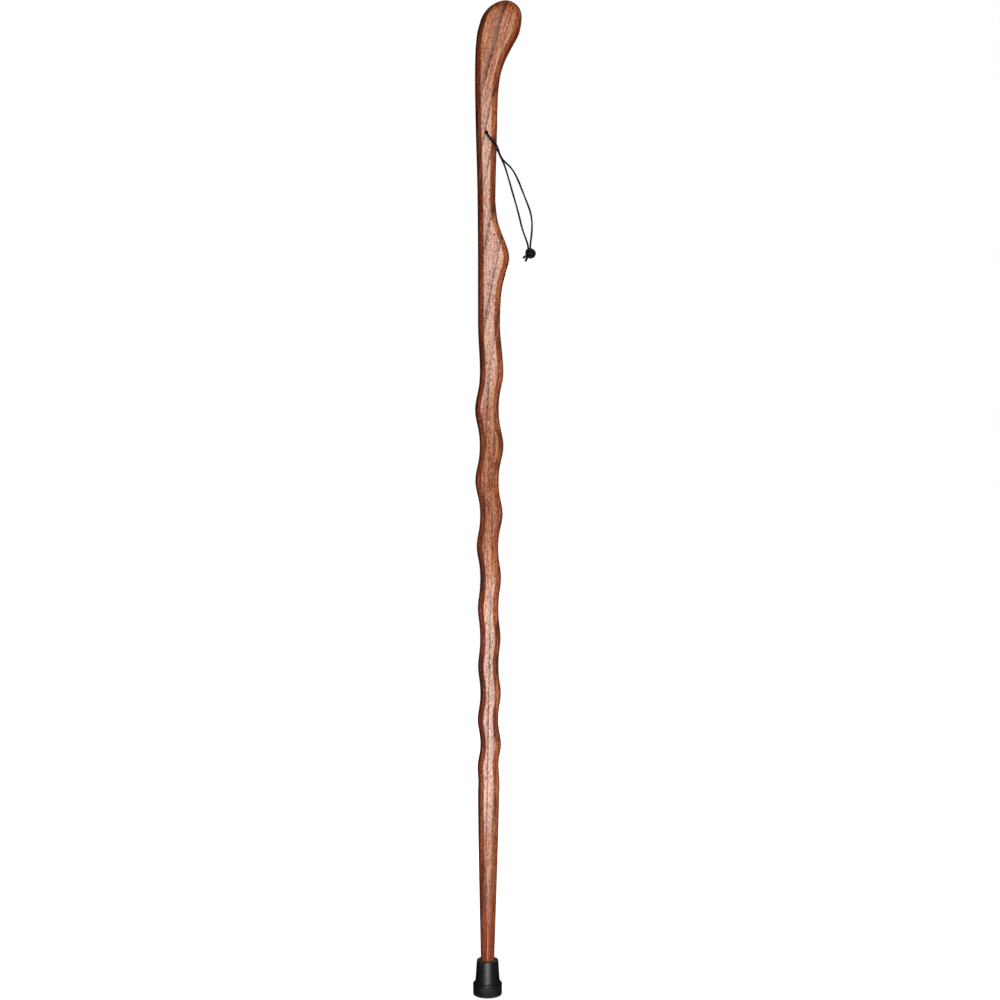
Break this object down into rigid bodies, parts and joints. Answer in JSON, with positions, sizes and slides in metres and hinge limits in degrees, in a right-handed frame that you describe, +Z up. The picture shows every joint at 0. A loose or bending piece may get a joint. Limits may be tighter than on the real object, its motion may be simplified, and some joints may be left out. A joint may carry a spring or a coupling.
{
  "type": "hiking staff",
  "caption": "Carved wood hiking staff with a leaning head, thumb swell and wavy shaft, a lace wrist loop through the grip and a push-on rubber tip.",
  "frame": {"origin": "centre of the sole of the rubber tip, on the floor that the staff stands on", "axes": "+Z up along the staff to its head, +X to the side of the thumb swell, the leaning head and the wrist cord, -Y to the front face"},
  "size_m": [0.0883, 0.041, 1.397],
  "materials": {
    "wood": "satin varnish over a red-brown stain",
    "lace": "waxed",
    "rubber": "moulded, matt",
    "steel": "zinc plated"
  },
  "bodies": {
    "staff": {"wood_shaft": "wood"},
    "wrist_loop": {"cord_front_strand": "lace", "cord_back_strand": "lace", "cord_knot": "lace"},
    "tip": {"rubber_tip": "rubber", "tip_washer": "steel"}
  },
  "joints": [
    {"name": "cord_swing", "type": "hinge", "parent": "staff", "child": "wrist_loop", "pos_m": [-0.0015, 0, 1.209], "axis": [0, -1, 0], "range_deg": [0, 90]},
    {"name": "tip_pull", "type": "slide", "parent": "tip", "child": "staff", "axis": [0, 0, 1], "range_m": [0, 0.045]}
  ]
}
